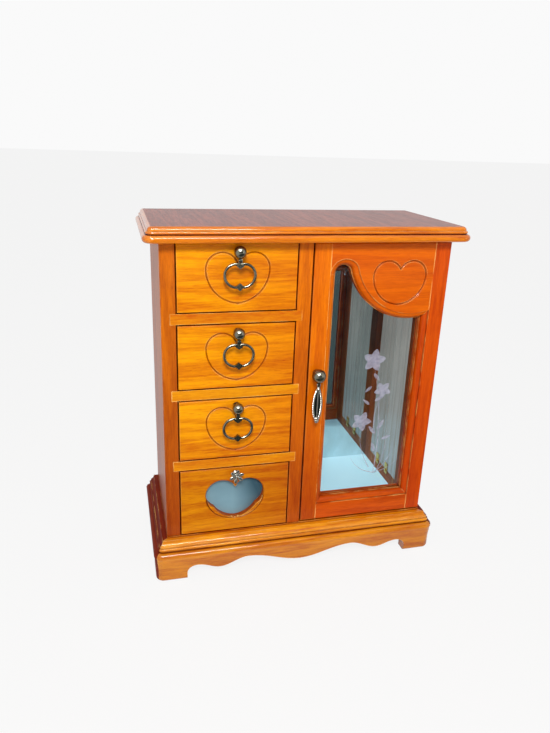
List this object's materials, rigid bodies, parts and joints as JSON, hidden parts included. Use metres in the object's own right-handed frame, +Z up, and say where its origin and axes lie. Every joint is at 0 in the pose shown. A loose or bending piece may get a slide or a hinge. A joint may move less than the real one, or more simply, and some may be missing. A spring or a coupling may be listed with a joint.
{
  "type": "tabletop jewellery cabinet with doors",
  "caption": "Small wooden jewellery cabinet with heart-carved drawers on the left, a glazed swing door on the right and a moulded, scalloped base.",
  "frame": {"origin": "middle of the footprint of the whole object, pulls included, on the surface it stands on", "axes": "+Z up, -Y towards the drawer fronts and the door, +X towards the door's hinged side"},
  "size_m": [0.26, 0.126, 0.3028],
  "materials": {
    "varnished_wood": "gloss varnish",
    "plain_wood": "matt, unvarnished",
    "clear_glass": "polished",
    "mirror_glass": "polished",
    "pale_felt": "short pile",
    "brass": "polished",
    "steel": "bright nickel plate",
    "dark_plastic": "matt",
    "antique_silver": "antique silver plate with dark hollows"
  },
  "bodies": {
    "cabinet": {"top_board": "varnished_wood", "left_side": "varnished_wood", "divider": "varnished_wood", "side_front_stile": "varnished_wood", "side_rear_stile": "varnished_wood", "side_rails": "varnished_wood", "side_glass": "clear_glass", "side_glass_clips": "brass", "shelf_1": "varnished_wood", "shelf_2": "varnished_wood", "shelf_3": "varnished_wood", "bottom_board": "varnished_wood", "back_panel": "plain_wood", "compartment_mirror": "mirror_glass", "compartment_pad": "pale_felt", "base_front": "varnished_wood", "base_left": "varnished_wood", "base_right": "varnished_wood", "base_back": "plain_wood", "base_blocks": "plain_wood", "hinge_case_leaves": "brass", "hinge_pins": "brass", "catch_magnet": "dark_plastic", "wheel_post": "brass"},
    "wheel": {"necklace_wheel": "varnished_wood", "necklace_hooks": "steel"},
    "door": {"door_left_stile": "varnished_wood", "door_right_stile": "varnished_wood", "door_fan_panel": "varnished_wood", "door_bottom_rail": "varnished_wood", "door_glass": "clear_glass", "door_glass_beads": "varnished_wood", "hinge_door_leaves": "brass", "catch_strike": "steel", "door_knob": "antique_silver"},
    "pendant": {"door_pendant": "antique_silver"},
    "drawer_1": {"drawer_1_front": "varnished_wood", "drawer_1_walls": "plain_wood", "drawer_1_bottom": "plain_wood", "drawer_1_felt": "pale_felt", "drawer_1_knob": "antique_silver"},
    "ring_1": {"drawer_1_ring": "antique_silver"},
    "drawer_2": {"drawer_2_front": "varnished_wood", "drawer_2_walls": "plain_wood", "drawer_2_bottom": "plain_wood", "drawer_2_felt": "pale_felt", "drawer_2_knob": "antique_silver"},
    "ring_2": {"drawer_2_ring": "antique_silver"},
    "drawer_3": {"drawer_3_front": "varnished_wood", "drawer_3_walls": "plain_wood", "drawer_3_bottom": "plain_wood", "drawer_3_felt": "pale_felt", "drawer_3_knob": "antique_silver"},
    "ring_3": {"drawer_3_ring": "antique_silver"},
    "drawer_4": {"drawer_4_front": "varnished_wood", "drawer_4_walls": "plain_wood", "drawer_4_bottom": "plain_wood", "drawer_4_felt": "pale_felt", "drawer_4_knob": "antique_silver", "drawer_4_pane": "clear_glass"}
  },
  "joints": [
    {"name": "door_hinge", "type": "hinge", "parent": "cabinet", "child": "door", "pos_m": [0.1204, -0.03665, 0.164], "axis": [0, 0, 1], "range_deg": [0, 180]},
    {"name": "pendant_swing", "type": "hinge", "parent": "door", "child": "pendant", "pos_m": [0.008, -0.05735, 0.1752], "axis": [-1, 0, 0], "range_deg": [-6, 95]},
    {"name": "wheel_turn", "type": "hinge", "parent": "cabinet", "child": "wheel", "pos_m": [0.0527, 0.00935, 0.262], "axis": [0, 0, 1], "continuous": true},
    {"name": "drawer_1_slide", "type": "slide", "parent": "cabinet", "child": "drawer_1", "axis": [0, -1, 0], "range_m": [0, 0.085]},
    {"name": "ring_1_swing", "type": "hinge", "parent": "drawer_1", "child": "ring_1", "pos_m": [-0.0588, -0.05635, 0.278], "axis": [-1, 0, 0], "range_deg": [-12, 95]},
    {"name": "drawer_2_slide", "type": "slide", "parent": "cabinet", "child": "drawer_2", "axis": [0, -1, 0], "range_m": [0, 0.085]},
    {"name": "ring_2_swing", "type": "hinge", "parent": "drawer_2", "child": "ring_2", "pos_m": [-0.0588, -0.05635, 0.2148], "axis": [-1, 0, 0], "range_deg": [-12, 95]},
    {"name": "drawer_3_slide", "type": "slide", "parent": "cabinet", "child": "drawer_3", "axis": [0, -1, 0], "range_m": [0, 0.085]},
    {"name": "ring_3_swing", "type": "hinge", "parent": "drawer_3", "child": "ring_3", "pos_m": [-0.0588, -0.05635, 0.1516], "axis": [-1, 0, 0], "range_deg": [-12, 95]},
    {"name": "drawer_4_slide", "type": "slide", "parent": "cabinet", "child": "drawer_4", "axis": [0, -1, 0], "range_m": [0, 0.085]}
  ]
}
